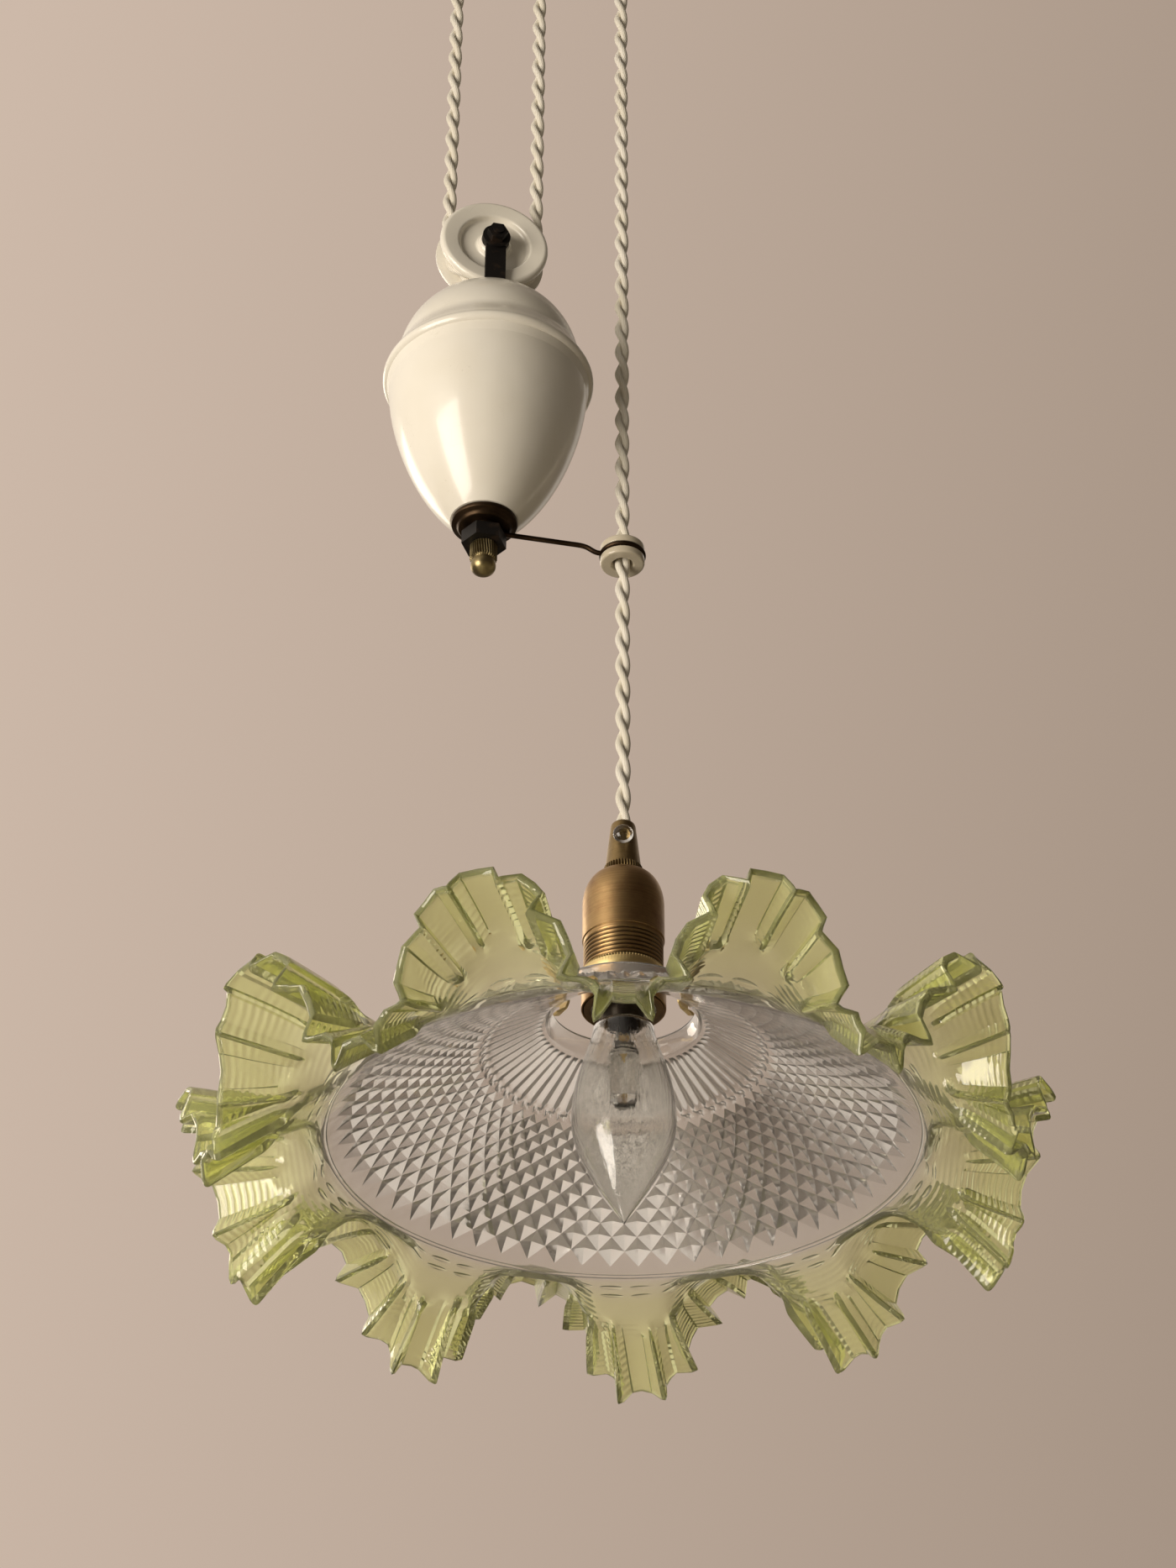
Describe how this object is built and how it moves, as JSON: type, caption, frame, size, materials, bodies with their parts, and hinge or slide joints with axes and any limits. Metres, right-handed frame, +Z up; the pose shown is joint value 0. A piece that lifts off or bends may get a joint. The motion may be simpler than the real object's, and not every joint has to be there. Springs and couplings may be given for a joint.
{
  "type": "adjustable pendant light",
  "caption": "Rise-and-fall pendant light with porcelain counterweight, pulleys, twisted cloth cord and a pressed glass shade with a crimped, waved rim.",
  "frame": {"origin": "centre of the ceiling plate's mounting face", "axes": "+Z up into the ceiling, -Z down along the cord to the shade; the three runs of cord lie in the XZ plane with the lamp at +X; -Y is the front"},
  "size_m": [0.2884, 0.2943, 0.7023],
  "materials": {
    "steel": "zinc plated",
    "black_iron": "blackened iron",
    "aged_brass": "aged bronze-brown, satin",
    "bright_brass": "lacquered bright brass",
    "white_porcelain": "glossy off-white glaze",
    "lead_shot": "packed shot",
    "cloth_flex": "cream braided cloth, twisted pair",
    "moulded_plastic": "moulded",
    "clear_plastic": "clear moulded",
    "bulb_cap_metal": "plain",
    "bulb_clear_glass": "clear, drawn streaks",
    "pressed_glass": "clear centre to yellow-green rim"
  },
  "bodies": {
    "ceiling": {"ceiling_plate": "steel", "hanger_stud": "steel", "canopy": "aged_brass", "canopy_nut": "steel", "hanger_strap": "black_iron", "hanger_nut": "black_iron", "top_axle": "black_iron", "top_axle_washer": "black_iron", "top_axle_nut": "black_iron", "cord_gland": "aged_brass", "gland_nut": "steel", "terminal_block": "moulded_plastic", "cord_tail": "cloth_flex", "cord_fixed_run": "cloth_flex", "cord_middle_run": "cloth_flex", "cord_top_loop": "cloth_flex", "cord_lamp_run": "cloth_flex"},
    "top_pulley": {"top_pulley": "white_porcelain"},
    "counterweight": {"weight_strap": "black_iron", "weight_axle": "black_iron", "weight_axle_washer": "black_iron", "weight_axle_nut": "black_iron", "weight_cap": "white_porcelain", "weight_pot": "white_porcelain", "weight_ballast": "lead_shot", "tie_rod": "black_iron", "cup_washer": "aged_brass", "guide_arm": "aged_brass", "tie_nut": "black_iron", "acorn_nut": "aged_brass", "guide_bobbin": "white_porcelain", "cord_weight_loop": "cloth_flex"},
    "weight_pulley": {"weight_pulley": "white_porcelain"},
    "lamp": {"cord_grip": "aged_brass", "grip_screw": "clear_plastic", "grip_nut": "steel", "lampholder_cap": "aged_brass", "lampholder_skirt": "aged_brass", "shade_ring": "bright_brass", "shade_claw": "bright_brass", "lower_ring": "aged_brass", "socket_insulator": "moulded_plastic", "screw_shell": "bright_brass", "contact_tongue": "bright_brass", "lamp_terminals": "bright_brass", "lamp_cord_end": "cloth_flex", "bulb_cap": "bulb_cap_metal", "bulb_glass": "bulb_clear_glass", "bulb_capsule": "bulb_clear_glass", "bulb_supports": "bulb_cap_metal", "shade_glass": "pressed_glass"}
  },
  "joints": [
    {"name": "lamp_slide", "type": "slide", "parent": "ceiling", "child": "lamp", "axis": [0, 0, 1], "range_m": [-0.3, 0.07], "deforming": ["cord_lamp_run"]},
    {"name": "counterweight_slide", "type": "slide", "parent": "ceiling", "child": "counterweight", "axis": [0, 0, 1], "range_m": [-0.036, 0.151], "deforming": ["cord_fixed_run", "cord_middle_run"]},
    {"name": "weight_pulley_spin", "type": "hinge", "parent": "counterweight", "child": "weight_pulley", "pos_m": [-0.0175, 0, -0.2775], "axis": [0, 1, 0], "range_deg": [-495, 118]},
    {"name": "top_pulley_spin", "type": "hinge", "parent": "ceiling", "child": "top_pulley", "pos_m": [0.0175, 0, -0.072], "axis": [0, 1, 0], "range_deg": [-232, 986]}
  ],
  "couplings": [
    {"joint": "counterweight_slide", "follows": "lamp_slide", "ratio": -0.5},
    {"joint": "weight_pulley_spin", "follows": "lamp_slide", "rad_per_m": 28.571},
    {"joint": "top_pulley_spin", "follows": "lamp_slide", "rad_per_m": -57.143}
  ]
}
